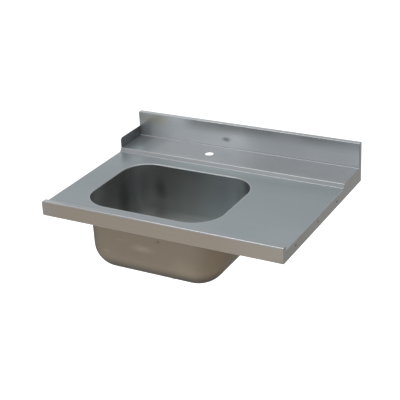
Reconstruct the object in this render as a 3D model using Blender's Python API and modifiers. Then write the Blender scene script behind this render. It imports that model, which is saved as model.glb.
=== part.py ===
"""Stainless sink table top with one pressed bowl, a raised front edge and a rear upstand.

Metres, +Z up.  Every piece is modelled in the table's own frame, in which X runs from the left
end to the right, Y from the front face to the back, and Z is zero on the deck.  An empty then
carries the table so that the world origin lies on the right-hand face, where it bolts on.
"""

import bmesh
import bpy
from math import ceil, cos, pi, radians, sin, tan
from mathutils import Matrix, Vector

# Stock and clearances
sheet = 0.0015
bowl_sheet = 0.0012
gap = 0.0003
weld = 0.00003
overrun = 0.02
bend_steps = 4

# Worktop
length = 1.000
depth = 0.750
apron_height = 0.046
return_flange = 0.015
side_return = 0.025
bead_height = 0.016
bead_depth = 0.020
bead_lean = 0.002
ledge_height = 0.015
ledge_depth = 0.157
step_lean = 0.011
splash_height = 0.105
splash_thickness = 0.023
splash_hem = 0.020
edge_bend = 0.004
small_bend = 0.003
side_bend = 0.004
rear_apron_drop = 0.010

# Ends of the worktop
corner_width = 0.017
corner_fall_share = 0.9
corner_turn = 0.0045
cheek_rise = 0.042
cheek_round = 0.014

# Holes in the worktop
tap_hole = 0.035
tap_hole_x = 0.382
tap_hole_back = 0.082
bolt_hole = 0.008
bolt_hole_shares = (0.141, 0.409, 0.652)

# Bowl
bowl_length = 0.569
bowl_width = 0.428
bowl_left = 0.115
bowl_front = 0.0725
bowl_depth = 0.292
bowl_corner = 0.124
bowl_wall_corner = 0.112
bowl_lip = 0.004
bowl_rim = 0.004
bowl_draft = radians(0.3)
bowl_floor_bend = 0.100
bowl_lip_steps = 4
bowl_bend_steps = 8
bowl_corner_steps = 12

# Hat sections under the deck
hat_height = 0.025
hat_width = 0.034
hat_flange = 0.012
hat_bend = 0.003
hat_pitch = 0.110
leg_rail_x = 0.058
leg_rail_end = 0.004

# Leg sockets
leg_tube = 0.034
socket_wall = 0.002
socket_length = 0.038
socket_plate = 0.003
socket_plate_width = 0.054
leg_inset = 0.070
set_screw = 0.006
set_screw_length = 0.010
set_screw_key = 0.003
set_screw_drop = 0.022

# Waste under the bowl
waste_hole = 0.090
waste_flange = 0.114
waste_metal = 0.0015
waste_cup = 0.084
waste_cup_depth = 0.042
waste_seat = 0.092
waste_seat_depth = 0.0011
waste_neck = 0.048
waste_neck_length = 0.016
waste_throat = 0.042
waste_funnel = 0.006
seal_thickness = 0.001
under_seal_thickness = 0.003
friction_ring_thickness = 0.001
lock_nut_width = 0.116
lock_nut_height = 0.010
lock_nut_lugs = 6
lug_width = 0.010
lug_depth = 0.005
tailpiece = 0.040
tailpiece_length = 0.018
tail_collar = 0.002
tail_nut_width = 0.062
tail_nut_height = 0.020
tail_nut_lip = 0.003

# Lift-out strainer
basket_taper = 0.007
drain_hole = 0.0035
drain_hole_pitch = 0.012
drain_hole_sides = 8
drain_ring_shares = (0.46, 0.66)
plug_seal = 0.050
plug_seal_thickness = 0.004
stem = 0.008
knob = 0.022
knob_height = 0.009
knob_foot_share = 0.62
key_sides = 6

turn_steps = 40
fastener_steps = 24
drill_steps = 16

# Places that follow from the sizes above
splash_front = depth - splash_thickness
ledge_front = splash_front - ledge_depth
step_foot = ledge_front - step_lean
deck_start = bead_depth + bead_lean + edge_bend
splash_top = ledge_height + splash_height
cheek_top = ledge_height + cheek_rise
rear_left = side_bend
rear_right = length - sheet - gap
cheek_left = rear_left - gap - sheet
bowl_x = bowl_left + bowl_length / 2
bowl_y = bowl_front + bowl_width / 2
under_deck = -sheet - gap
under_bowl = -bowl_depth - bowl_sheet
seal_level = -bowl_depth + gap
flange_level = seal_level + seal_thickness + gap
flange_top = flange_level + waste_metal
seat_level = flange_top - waste_seat_depth
cup_floor = flange_level - waste_cup_depth
neck_top = cup_floor - waste_funnel
neck_end = neck_top - waste_neck_length
cup_bore = waste_cup / 2 - waste_metal
neck_bore = waste_throat / 2 - waste_metal
funnel_slope = waste_funnel / (cup_bore - neck_bore)
plug_seat = neck_top + waste_metal + funnel_slope * waste_metal
basket_rim_level = seat_level + gap
basket_floor = plug_seat + gap + plug_seal_thickness + gap
basket_depth = basket_rim_level - basket_floor
joint_y = depth * (bolt_hole_shares[0] + bolt_hole_shares[1]) / 2


def clear_scene():
    for old in list(bpy.data.objects):
        bpy.data.objects.remove(old, do_unlink=True)


def new_collection(name):
    found = bpy.data.collections.get(name)
    if found is None:
        found = bpy.data.collections.new(name)
        bpy.context.scene.collection.children.link(found)
    return found


clear_scene()
parts = new_collection("sink_table")
cutters = new_collection("cutters")

table = bpy.data.objects.new("table_frame", None)
parts.objects.link(table)
table.location = (-length, -joint_y, apron_height / 2)

strainer_axis = bpy.data.objects.new("strainer_axis", None)
parts.objects.link(strainer_axis)
strainer_axis.parent = table
strainer_axis.location = (bowl_x, bowl_y, basket_rim_level)


def material(name, colour, roughness, metallic):
    """One Principled finish."""
    finish = bpy.data.materials.new(name)
    finish.use_nodes = True
    shader = finish.node_tree.nodes["Principled BSDF"]
    shader.inputs["Base Color"].default_value = (*colour, 1.0)
    shader.inputs["Roughness"].default_value = roughness
    shader.inputs["Metallic"].default_value = metallic
    finish.diffuse_color = (*colour, 1.0)
    return finish


brushed = material("brushed_worktop_steel", (0.52, 0.54, 0.55), 0.34, 1.0)
pressed = material("pressed_bowl_steel", (0.44, 0.44, 0.43), 0.38, 1.0)
formed = material("folded_section_steel", (0.50, 0.51, 0.51), 0.42, 1.0)
turned_steel = material("turned_waste_steel", (0.62, 0.62, 0.61), 0.22, 1.0)
zinc = material("zinc_plated_screw", (0.58, 0.57, 0.52), 0.35, 1.0)
rubber = material("black_rubber", (0.03, 0.03, 0.03), 0.80, 0.0)
nylon = material("white_waste_plastic", (0.78, 0.78, 0.75), 0.45, 0.0)


def add_object(name, mesh, finish, parent=table):
    part = bpy.data.objects.new(name, mesh)
    parts.objects.link(part)
    part.parent = parent
    mesh.materials.append(finish)
    return part


def mesh_from(shape, name):
    mesh = bpy.data.meshes.new(name)
    shape.to_mesh(mesh)
    shape.free()
    return mesh


def smooth(mesh, angle=radians(32)):
    mesh.shade_smooth()
    mesh.set_sharp_from_angle(angle=angle)


def thicken(part, thickness):
    """Give an open surface its sheet thickness, away from the side that its faces point to."""
    solid = part.modifiers.new("sheet", "SOLIDIFY")
    solid.thickness = thickness
    solid.offset = -1.0
    solid.use_even_offset = True
    solid.use_quality_normals = True


def cut(part, cutter):
    """Take the cutter's shape out of the part."""
    difference = part.modifiers.new("cut_" + cutter.name, "BOOLEAN")
    difference.operation = "DIFFERENCE"
    difference.solver = "EXACT"
    difference.object = cutter


def add_cutter(name, mesh, parent=table):
    cutter = bpy.data.objects.new(name, mesh)
    cutters.objects.link(cutter)
    cutter.parent = parent
    cutter.hide_render = True
    cutter.display_type = "WIRE"
    return cutter


def drill(name, diameter, centre, axis, reach, steps=drill_steps, parent=table):
    """A round cutter on an axis, with its middle at the centre."""
    shape = bmesh.new()
    tilt = Vector((0, 0, 1)).rotation_difference(Vector(axis)).to_matrix().to_4x4()
    bmesh.ops.create_cone(
        shape,
        cap_ends=True,
        segments=steps,
        radius1=diameter / 2,
        radius2=diameter / 2,
        depth=reach,
        matrix=Matrix.Translation(centre) @ tilt,
    )
    return add_cutter(name, mesh_from(shape, name), parent)


def bend(before, corner, after, radius):
    """The points of the bend that replaces a corner of a folded path, as large as its sides allow."""
    corner = Vector(corner)
    if radius == 0:
        return [corner]
    back = Vector(before) - corner
    ahead = Vector(after) - corner
    half = back.angle(ahead) / 2
    radius = min(radius, min(back.length, ahead.length) / 2 * tan(half))
    back.normalize()
    ahead.normalize()
    centre = corner + (back + ahead).normalized() * radius / sin(half)
    first = (corner + back * radius / tan(half) - centre).normalized()
    last = (corner + ahead * radius / tan(half) - centre).normalized()
    return [centre + first.slerp(last, step / bend_steps) * radius for step in range(bend_steps + 1)]


def folded_path(corners):
    """A path through (across, up, bend radius) corners, with each inner corner rounded."""
    path = [Vector(corners[0][:2])]
    for before, corner, after in zip(corners, corners[1:], corners[2:]):
        path += bend(before[:2], corner[:2], after[:2], corner[2])
    path.append(Vector(corners[-1][:2]))
    return path


def draw_path(shape, path, x):
    """The path's edges in the plane at x."""
    points = [shape.verts.new((x, across, up)) for across, up in path]
    return [shape.edges.new(pair) for pair in zip(points, points[1:])]


def draw_out(shape, edges, shift):
    """Extrude open edges by a shift, and return the new edges."""
    drawn = bmesh.ops.extrude_edge_only(shape, edges=edges)["geom"]
    moved = [item for item in drawn if isinstance(item, bmesh.types.BMVert)]
    bmesh.ops.translate(shape, verts=moved, vec=shift)
    fresh = [item for item in drawn if isinstance(item, bmesh.types.BMEdge)]
    return [edge for edge in fresh if edge.verts[0] in moved and edge.verts[1] in moved]


def face_up(shape):
    """Point an open sheet's faces to the side from which its largest level face is seen."""
    bmesh.ops.recalc_face_normals(shape, faces=shape.faces)
    level = max(shape.faces, key=lambda face: face.calc_area() * abs(face.normal.z))
    if level.normal.z < 0:
        bmesh.ops.reverse_faces(shape, faces=shape.faces)


def bead_section(level, back, foot, inset=0, front=0):
    """The section from the apron's foot round the bead to the deck, on or inside the sheet's face."""
    tighter = edge_bend - inset
    return folded_path(
        [
            (foot, inset - apron_height, 0),
            (front + inset, inset - apron_height, tighter),
            (front + inset, level, tighter),
            (bead_depth - inset, level, tighter),
            (bead_depth + bead_lean - inset, -inset, small_bend + inset),
            (back, -inset, 0),
        ]
    )


front_path = bead_section(bead_height, deck_start, return_flange)

rear_path = folded_path(
    [
        (bead_depth + bead_lean, 0, 0),
        (step_foot, 0, small_bend),
        (ledge_front, ledge_height, edge_bend),
        (splash_front, ledge_height, edge_bend),
        (splash_front, splash_top, small_bend),
        (depth, splash_top, small_bend),
        (depth, splash_top - splash_hem, 0),
    ]
)[1:]
deck_back = rear_path[0].x


def side_fold(shape, edges, outward):
    """Fold the deck's end edge down into a side apron with a return at its foot."""
    for step in range(bend_steps):
        now = pi / 2 * step / bend_steps
        then = pi / 2 * (step + 1) / bend_steps
        across = outward * side_bend * (sin(then) - sin(now))
        edges = draw_out(shape, edges, (across, 0, side_bend * (cos(then) - cos(now))))
    edges = draw_out(shape, edges, (0, 0, side_bend - apron_height))
    draw_out(shape, edges, (-outward * side_return, 0, 0))


def longest(edges):
    return max(edges, key=lambda edge: edge.calc_length())


def behind_bead(edges):
    """The section's edges from the front of the flat deck backwards."""
    start = deck_start - weld
    return [edge for edge in edges if min(vertex.co.y for vertex in edge.verts) > start]


def build_worktop():
    """The one folded sheet: front apron, bead, deck, step, ledge, upstand and side aprons."""
    shape = bmesh.new()
    start = corner_width + gap
    across = draw_path(shape, front_path + rear_path, start)
    left_edges = list(across)
    right_edges = draw_out(shape, across, (length - 2 * start, 0, 0))
    inner_left = draw_out(shape, behind_bead(left_edges), (side_bend - start, 0, 0))
    inner_right = draw_out(shape, behind_bead(right_edges), (start - side_bend, 0, 0))
    fold_left = longest(inner_left)
    fold_right = longest(inner_right)
    side_fold(shape, [fold_left], -1)
    side_fold(shape, [fold_right], 1)
    rear_edges = [edge for edge in inner_right if edge is not fold_right]
    draw_out(shape, rear_edges, (rear_right - length + side_bend, 0, 0))
    face_up(shape)
    worktop = add_object("worktop", mesh_from(shape, "worktop"), brushed)
    thicken(worktop, sheet)
    cut(worktop, bowl_opening())
    cut(worktop, tap_opening())
    for number, share in enumerate(bolt_hole_shares, start=1):
        place = (length, depth * share, -apron_height / 2)
        cut(worktop, drill(f"bolt_hole_{number}", bolt_hole, place, (1, 0, 0), overrun))
    smooth(worktop.data)


def rounded_ring(half_x, half_y, radius, level):
    """One level ring of the bowl, round its middle, with equal points on each corner."""
    ring = []
    for quarter, (side_x, side_y) in enumerate(((1, 1), (-1, 1), (-1, -1), (1, -1))):
        for step in range(bowl_corner_steps + 1):
            angle = pi / 2 * (quarter + step / bowl_corner_steps)
            across = side_x * (half_x - radius) + radius * cos(angle)
            along = side_y * (half_y - radius) + radius * sin(angle)
            ring.append((bowl_x + across, bowl_y + along, level))
    return ring


def prism(name, ring, height):
    """A cutter that stands on a ring."""
    shape = bmesh.new()
    base = shape.faces.new([shape.verts.new(point) for point in ring])
    top = bmesh.ops.extrude_face_region(shape, geom=[base])["geom"]
    moved = [item for item in top if isinstance(item, bmesh.types.BMVert)]
    bmesh.ops.translate(shape, verts=moved, vec=(0, 0, height))
    bmesh.ops.recalc_face_normals(shape, faces=shape.faces)
    return add_cutter(name, mesh_from(shape, name))


def bowl_opening():
    """The cut-out that the bowl's rim is welded into."""
    edge = bowl_rim + gap
    half_x = bowl_length / 2 + edge
    half_y = bowl_width / 2 + edge
    return prism("bowl_cutter", rounded_ring(half_x, half_y, bowl_corner + edge, -overrun), 2 * overrun)


def tap_opening():
    place = (tap_hole_x, splash_front - tap_hole_back, ledge_height)
    return drill("tap_cutter", tap_hole, place, (0, 0, 1), overrun, turn_steps)


def bowl_rings():
    """Inner rings of the bowl, from the welded rim down to the edge of its floor."""
    half_x = bowl_length / 2
    half_y = bowl_width / 2
    rings = [rounded_ring(half_x + bowl_rim, half_y + bowl_rim, bowl_corner + bowl_rim, 0)]
    for step in range(bowl_lip_steps + 1):
        angle = pi / 2 * step / bowl_lip_steps
        inset = bowl_lip * sin(angle)
        tighter = (bowl_corner - bowl_wall_corner) * sin(angle)
        level = bowl_lip * (cos(angle) - 1)
        rings.append(rounded_ring(half_x - inset, half_y - inset, bowl_corner - tighter, level))
    wall_height = bowl_depth - bowl_lip - bowl_floor_bend
    wall_inset = bowl_lip + wall_height * tan(bowl_draft)
    for step in range(bowl_bend_steps + 1):
        angle = pi / 2 * step / bowl_bend_steps
        turn_in = bowl_floor_bend * (1 - cos(angle))
        inset = wall_inset + turn_in
        level = -bowl_lip - wall_height - bowl_floor_bend * sin(angle)
        radius = bowl_wall_corner - turn_in
        rings.append(rounded_ring(half_x - inset, half_y - inset, radius, level))
    return rings


def build_bowl():
    """The pressed bowl, lofted through its rings, with the waste hole cut out."""
    shape = bmesh.new()
    rings = [[shape.verts.new(point) for point in ring] for ring in bowl_rings()]
    for upper, lower in zip(rings, rings[1:]):
        for here in range(len(upper)):
            ahead = (here + 1) % len(upper)
            shape.faces.new((upper[here], upper[ahead], lower[ahead], lower[here]))
    shape.faces.new(rings[-1])
    face_up(shape)
    bowl = add_object("bowl", mesh_from(shape, "bowl"), pressed)
    thicken(bowl, bowl_sheet)
    cut(bowl, drill("waste_hole", waste_hole, (bowl_x, bowl_y, under_bowl), (0, 0, 1), overrun, turn_steps))
    smooth(bowl.data)


def bead_levels(width, fall, inset):
    """Distances from the end face, each with the bead's level and front, on or inside the sheet."""
    levels = [(width, bead_height - inset, 0)]
    if fall == 0:
        return levels + [(inset, bead_height - inset, 0)]
    reach = fall - inset
    for step in range(bend_steps + 1):
        angle = pi / 2 * step / bend_steps
        front = (corner_turn - inset) * (1 - cos(angle))
        levels.append((fall - reach * sin(angle), bead_height - fall + reach * cos(angle), front))
    return levels


def corner_block(name, outer, inward, levels, foot, inset=0, closing=()):
    """The mesh through the bead's sections at some levels, each closed by further points."""
    shape = bmesh.new()
    loops = []
    for distance, level, front in levels:
        x = outer + inward * distance
        section = bead_section(level, deck_start - gap, foot, inset, front) + list(closing)
        loops.append([shape.verts.new((x, across, up)) for across, up in section])
    for loop, nearer in zip(loops, loops[1:]):
        for here in range(len(loop)):
            ahead = (here + 1) % len(loop)
            shape.faces.new((loop[here], loop[ahead], nearer[ahead], nearer[here]))
    shape.faces.new(loops[0])
    shape.faces.new(loops[-1])
    bmesh.ops.recalc_face_normals(shape, faces=shape.faces)
    bmesh.ops.triangulate(shape, faces=shape.faces)
    return mesh_from(shape, name)


def build_corner(name, outer, inward, fall):
    """The welded end of the front bead: a block of its own section, hollowed to sheet thickness."""
    levels = bead_levels(corner_width, fall, 0)
    corner = add_object(name, corner_block(name, outer, inward, levels, deck_start - gap), brushed)
    behind = deck_start + overrun
    below = -apron_height - overrun
    open_side = [(behind, -sheet), (behind, below), (return_flange, below)]
    levels = bead_levels(corner_width + overrun, fall, sheet)
    room = corner_block(name + "_room", outer, inward, levels, return_flange, sheet, open_side)
    cut(corner, add_cutter(name + "_room", room))
    smooth(corner.data)


def flat_plate(name, outline, x, finish):
    """A plate of sheet thickness with its outline in the YZ plane, from x towards +X."""
    shape = bmesh.new()
    face = shape.faces.new([shape.verts.new((x, across, up)) for across, up in outline])
    drawn = bmesh.ops.extrude_face_region(shape, geom=[face])["geom"]
    moved = [item for item in drawn if isinstance(item, bmesh.types.BMVert)]
    bmesh.ops.translate(shape, verts=moved, vec=(sheet, 0, 0))
    bmesh.ops.recalc_face_normals(shape, faces=shape.faces)
    plate = add_object(name, mesh_from(shape, name), finish)
    smooth(plate.data)


def rear_outline(start):
    """The worktop's own section from the step's foot to the top of the upstand."""
    return [point for point in rear_path if point.y >= 0 and point.x >= start][:-1]


def build_cheeks():
    """The end plates of the ledge and upstand.  The left one also stands up above the ledge."""
    foot = deck_back + gap
    section = rear_outline(foot)
    lower = [(depth, -apron_height), (foot, -apron_height), (foot, 0)]
    flat_plate("right_end_cheek", section + lower, length - sheet, brushed)
    stand = folded_path(
        [
            (foot, -apron_height, 0),
            (foot, 0, 0),
            (step_foot, 0, 0),
            (ledge_front, ledge_height, 0),
            (ledge_front, cheek_top, cheek_round),
            (splash_front, cheek_top, 0),
            (splash_front, splash_top, small_bend),
            (depth, splash_top, small_bend),
            (depth, -apron_height, 0),
        ]
    )
    flat_plate("left_end_cheek", stand, cheek_left, brushed)


def build_rear_apron():
    """The channel along the back: foot, back face and a top flange that meets the upstand."""
    path = folded_path(
        [
            (depth - return_flange, -rear_apron_drop, 0),
            (depth, -rear_apron_drop, small_bend),
            (depth, ledge_height, small_bend),
            (splash_front + sheet + gap, ledge_height, 0),
        ]
    )
    shape = bmesh.new()
    draw_out(shape, draw_path(shape, path, rear_left), (rear_right - rear_left, 0, 0))
    face_up(shape)
    apron = add_object("rear_apron", mesh_from(shape, "rear_apron"), formed)
    thicken(apron, sheet)
    smooth(apron.data)


def hat_section(name, middle, start, end):
    """A hat section along Y whose two flanges lie under the deck."""
    half = hat_width / 2
    foot = under_deck - hat_height
    path = folded_path(
        [
            (-half - hat_flange, under_deck, 0),
            (-half, under_deck, hat_bend),
            (-half, foot, hat_bend),
            (half, foot, hat_bend),
            (half, under_deck, hat_bend),
            (half + hat_flange, under_deck, 0),
        ]
    )
    shape = bmesh.new()
    points = [shape.verts.new((middle + across, start, up)) for across, up in path]
    edges = [shape.edges.new(pair) for pair in zip(points, points[1:])]
    draw_out(shape, edges, (0, end - start, 0))
    face_up(shape)
    hat = add_object(name, mesh_from(shape, name), formed)
    thicken(hat, sheet)
    smooth(hat.data)


def build_stiffeners():
    """Hat sections: under the drainer, in bays no wider than the pitch, and as the leg sockets' rail."""
    first = bowl_left + bowl_length + bowl_rim
    bays = ceil((length - first) / hat_pitch)
    spacing = (length - first) / bays
    inner_front = return_flange + leg_rail_end
    for number in range(1, bays):
        hat_section(f"drainer_stiffener_{number}", first + spacing * number, inner_front, deck_back)
    hat_section("leg_rail", leg_rail_x, inner_front, depth - return_flange - gap)


def turn(name, profile, finish, centre, parent=table, steps=turn_steps, closed=True):
    """A turned piece from (radius, height) points that run from top to bottom on the outer side."""
    shape = bmesh.new()
    points = [shape.verts.new((radius, 0, height)) for radius, height in profile]
    for pair in zip(points, points[1:]):
        shape.edges.new(pair)
    if closed:
        shape.edges.new((points[-1], points[0]))
    piece = add_object(name, mesh_from(shape, name), finish, parent)
    piece.location = centre
    screw = piece.modifiers.new("turn", "SCREW")
    screw.angle = 2 * pi
    screw.steps = steps
    screw.render_steps = steps
    screw.use_merge_vertices = True
    screw.merge_threshold = weld
    screw.use_smooth_shade = False
    return piece


def ring_profile(inner, outer, top, bottom):
    """A plain ring between two diameters."""
    return [(inner / 2, top), (outer / 2, top), (outer / 2, bottom), (inner / 2, bottom)]


def build_leg_socket(name, y):
    """A round socket for a leg tube, on a plate under the leg rail."""
    top = under_deck - hat_height - sheet - gap
    outer = leg_tube + 2 * socket_wall
    under_plate = top - socket_plate
    foot = under_plate - socket_length
    profile = [
        (0, top),
        (socket_plate_width / 2, top),
        (socket_plate_width / 2, under_plate),
        (outer / 2, under_plate),
        (outer / 2, foot),
        (leg_tube / 2, foot),
        (leg_tube / 2, under_plate),
        (0, under_plate),
    ]
    centre = (leg_rail_x, y, 0)
    socket = turn(name, profile, formed, centre, closed=False)
    level = under_plate - set_screw_drop
    place = (leg_rail_x + (leg_tube + socket_wall) / 2, y, level)
    hole = set_screw + 2 * gap
    cut(socket, drill(name + "_screw_hole", hole, place, (1, 0, 0), set_screw_length))
    return level


def build_set_screw(name, y, level):
    """A socket set screw that clamps the leg tube, with its key hole outwards."""
    shape = bmesh.new()
    middle = leg_rail_x + leg_tube / 2 + set_screw_length / 2
    bmesh.ops.create_cone(
        shape,
        cap_ends=True,
        segments=fastener_steps,
        radius1=set_screw / 2,
        radius2=set_screw / 2,
        depth=set_screw_length,
        matrix=Matrix.Rotation(pi / 2, 4, "Y"),
    )
    screw = add_object(name, mesh_from(shape, name), zinc)
    screw.location = (middle, y, level)
    place = (middle + set_screw_length / 2, y, level)
    cut(screw, drill(name + "_key", set_screw_key, place, (1, 0, 0), set_screw_length, key_sides))


def build_legs_fixings():
    for end, y in (("front", leg_inset), ("rear", depth - leg_inset)):
        level = build_leg_socket(f"leg_socket_{end}", y)
        build_set_screw(f"leg_set_screw_{end}", y, level)


def build_waste():
    """The strainer waste: cup, seals, lock nut, tailpiece and its nut."""
    centre = (bowl_x, bowl_y, 0)
    wall = waste_metal
    profile = [
        (waste_seat / 2, flange_top),
        (waste_flange / 2, flange_top),
        (waste_flange / 2, flange_level),
        (waste_cup / 2, flange_level),
        (waste_cup / 2, cup_floor),
        (waste_neck / 2, neck_top),
        (waste_neck / 2, neck_end),
        (neck_bore, neck_end),
        (neck_bore, neck_top + wall),
        (cup_bore, cup_floor + wall),
        (cup_bore, seat_level),
        (waste_seat / 2, seat_level),
    ]
    turn("waste_cup", profile, turned_steel, centre)
    top = seal_level + seal_thickness
    turn("waste_top_seal", ring_profile(waste_hole, waste_flange - 2 * wall, top, seal_level), rubber, centre)
    top = under_bowl - gap
    bottom = top - under_seal_thickness
    turn("waste_under_seal", ring_profile(waste_hole, lock_nut_width, top, bottom), rubber, centre)
    top = bottom - gap
    bottom = top - friction_ring_thickness
    turn("waste_friction_ring", ring_profile(waste_hole, lock_nut_width, top, bottom), nylon, centre)
    top = bottom - gap
    build_lock_nut(centre, top)
    build_tail(centre)


def build_lock_nut(centre, top):
    """The ring nut under the bowl, with lugs for a spanner cut into its rim."""
    inner = waste_cup + 2 * gap
    bottom = top - lock_nut_height
    nut = turn("waste_lock_nut", ring_profile(inner, lock_nut_width, top, bottom), nylon, centre)
    spacing = 2 * pi / lock_nut_lugs
    for number in range(lock_nut_lugs):
        angle = spacing * number
        reach = lock_nut_width / 2
        place = (centre[0] + reach * cos(angle), centre[1] + reach * sin(angle), top - lock_nut_height / 2)
        shape = bmesh.new()
        size = Matrix.Diagonal((2 * lug_depth, lug_width, lock_nut_height + overrun, 1))
        spin = Matrix.Translation(place) @ Matrix.Rotation(angle, 4, "Z")
        bmesh.ops.create_cube(shape, size=1, matrix=spin @ size)
        cut(nut, add_cutter(f"lug_gap_{number}", mesh_from(shape, "lug_gap")))


def build_tail(centre):
    """The tailpiece hangs by its collar in the nut that closes on the cup's neck."""
    bore = tailpiece / 2 - waste_metal
    seal_top = neck_end - gap
    seal_bottom = seal_top - seal_thickness
    collar_top = seal_bottom - gap
    collar_bottom = collar_top - tail_collar
    collar = waste_neck
    end = collar_top - tailpiece_length
    turn("tail_seal", ring_profile(2 * bore, collar, seal_top, seal_bottom), rubber, centre)
    profile = [
        (bore, collar_top),
        (collar / 2, collar_top),
        (collar / 2, collar_bottom),
        (tailpiece / 2, collar_bottom),
        (tailpiece / 2, end),
        (bore, end),
    ]
    turn("tailpiece", profile, turned_steel, centre)
    inner = waste_neck / 2 + gap
    lip_top = collar_bottom - gap
    lip_bottom = lip_top - tail_nut_lip
    nut_top = lip_bottom + tail_nut_height
    profile = [
        (inner, nut_top),
        (tail_nut_width / 2, nut_top),
        (tail_nut_width / 2, lip_bottom),
        (tailpiece / 2 + gap, lip_bottom),
        (tailpiece / 2 + gap, lip_top),
        (inner, lip_top),
    ]
    turn("tail_nut", profile, nylon, centre)


def build_basket():
    """The lift-out basket: a tapered cup that hangs by its rim, with a ring of drain holes."""
    wall = waste_metal
    rim = waste_seat / 2 - gap
    side = cup_bore - gap
    level = 0
    floor = -basket_depth
    stem_hole = stem / 2 + gap
    profile = [
        (side - wall, level + wall / 2),
        (rim, level + wall / 2),
        (rim, level),
        (side, level),
        (side - basket_taper, floor),
        (stem_hole, floor),
        (stem_hole, floor + wall),
        (side - basket_taper - wall, floor + wall),
    ]
    basket = turn("strainer_basket", profile, turned_steel, (0, 0, 0), strainer_axis)
    for ring, share in enumerate(drain_ring_shares, start=1):
        reach = side * share
        count = int(2 * pi * reach / drain_hole_pitch)
        for number in range(count):
            angle = 2 * pi * number / count
            place = (reach * cos(angle), reach * sin(angle), floor)
            label = f"drain_hole_{ring}_{number}"
            hole = drill(label, drain_hole, place, (0, 0, 1), overrun, drain_hole_sides, strainer_axis)
            cut(basket, hole)


def build_strainer():
    """The basket, its rubber plug and the knob on its stem, which lift out together."""
    build_basket()
    floor = -basket_depth
    top = floor - gap
    bottom = top - plug_seal_thickness
    hole = stem + 2 * gap
    seal = [(hole / 2, top), (plug_seal / 2, top), (waste_throat / 2, bottom), (hole / 2, bottom)]
    turn("strainer_plug_seal", seal, rubber, (0, 0, 0), strainer_axis)
    knob_foot = basket_depth * (knob_foot_share - 1)
    knob_top = knob_foot + knob_height
    washer_top = floor + waste_metal + gap + waste_metal
    profile = [
        (0, knob_top),
        (knob / 2, knob_top),
        (knob / 2, knob_foot),
        (stem / 2, knob_foot),
        (stem / 2, washer_top),
        (knob / 2, washer_top),
        (knob / 2, washer_top - waste_metal),
        (stem / 2, washer_top - waste_metal),
        (stem / 2, bottom - gap),
        (0, bottom - gap),
    ]
    turn("strainer_knob", profile, turned_steel, (0, 0, 0), strainer_axis, fastener_steps, closed=False)


def main():
    build_worktop()
    build_bowl()
    build_corner("front_corner_left", 0, 1, bead_height * corner_fall_share)
    build_corner("front_corner_right", length, -1, 0)
    build_cheeks()
    build_rear_apron()
    build_stiffeners()
    build_legs_fixings()
    build_waste()
    build_strainer()


main()
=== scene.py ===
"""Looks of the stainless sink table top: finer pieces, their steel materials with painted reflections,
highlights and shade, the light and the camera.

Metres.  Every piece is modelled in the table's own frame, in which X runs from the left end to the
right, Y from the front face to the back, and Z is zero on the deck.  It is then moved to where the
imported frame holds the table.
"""

import bmesh
import bpy
from math import ceil, cos, pi, radians, sin, tan
from mathutils import Matrix, Vector


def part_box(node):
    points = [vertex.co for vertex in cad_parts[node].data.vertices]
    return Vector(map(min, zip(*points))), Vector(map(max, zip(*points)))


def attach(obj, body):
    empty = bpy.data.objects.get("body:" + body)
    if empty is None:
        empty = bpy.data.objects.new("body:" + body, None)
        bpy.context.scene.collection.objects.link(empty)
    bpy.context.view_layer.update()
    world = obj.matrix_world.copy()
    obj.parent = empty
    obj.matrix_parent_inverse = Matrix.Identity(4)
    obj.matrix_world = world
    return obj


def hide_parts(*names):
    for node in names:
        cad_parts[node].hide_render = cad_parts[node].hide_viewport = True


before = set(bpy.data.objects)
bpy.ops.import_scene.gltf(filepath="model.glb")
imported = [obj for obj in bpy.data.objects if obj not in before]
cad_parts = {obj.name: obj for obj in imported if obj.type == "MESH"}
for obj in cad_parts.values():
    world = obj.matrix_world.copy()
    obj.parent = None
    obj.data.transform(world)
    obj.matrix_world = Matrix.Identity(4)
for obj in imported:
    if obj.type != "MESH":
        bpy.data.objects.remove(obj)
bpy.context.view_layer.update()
scene = bpy.context.scene

# Stock and steps
sheet = 0.0015
bowl_sheet = 0.0012
bend_steps = 8
corner_steps = 20
turn_steps = 96
small_steps = 20
overrun = 0.02
clearance = 0.0003
edge_break = 0.00025
edge_steps = 2
merge_distance = 1e-6
sharp_from = radians(50)
smooth_up_to = radians(30)
upwards = (0, 0, 1)
sideways = (1, 0, 0)

# Worktop
apron_height = 0.046
return_flange = 0.015
side_return = 0.025
bead_height = 0.016
bead_depth = 0.020
bead_lean = 0.002
ledge_height = 0.015
ledge_depth = 0.157
step_lean = 0.011
splash_thickness = 0.023
splash_hem = 0.020
edge_bend = 0.004
small_bend = 0.003
side_bend = 0.004
rear_apron_drop = 0.010
corner_width = 0.017
corner_fall = 0.0144
corner_turn = 0.0045
cheek_rise = 0.042
cheek_round = 0.014
tap_hole = 0.035
tap_hole_x = 0.382
tap_hole_back = 0.082
bolt_hole = 0.008
bolt_hole_shares = (0.141, 0.409, 0.652)

# Bowl
bowl_corner = 0.124
bowl_wall_corner = 0.112
bowl_lip = 0.004
bowl_rim = 0.004
bowl_draft = radians(0.3)
bowl_floor_bend = 0.100
lip_steps = 8
floor_bend_steps = 16

# Hat sections under the deck
hat_height = 0.025
hat_width = 0.034
hat_flange = 0.012
hat_bend = 0.003
hat_pitch = 0.110
leg_rail_x = 0.058
leg_rail_end = 0.004
spot_weld = 0.005
spot_weld_depth = 0.0002
spot_weld_pitch = 0.060
weld_row_share = 0.6

# Leg sockets
leg_tube = 0.034
socket_wall = 0.002
socket_length = 0.038
socket_plate = 0.003
socket_plate_width = 0.054
socket_weld = 0.003
leg_inset = 0.070
set_screw = 0.006
set_screw_length = 0.010
set_screw_key = 0.003
set_screw_key_depth = 0.004
key_sides = 6
set_screw_drop = 0.022

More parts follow.
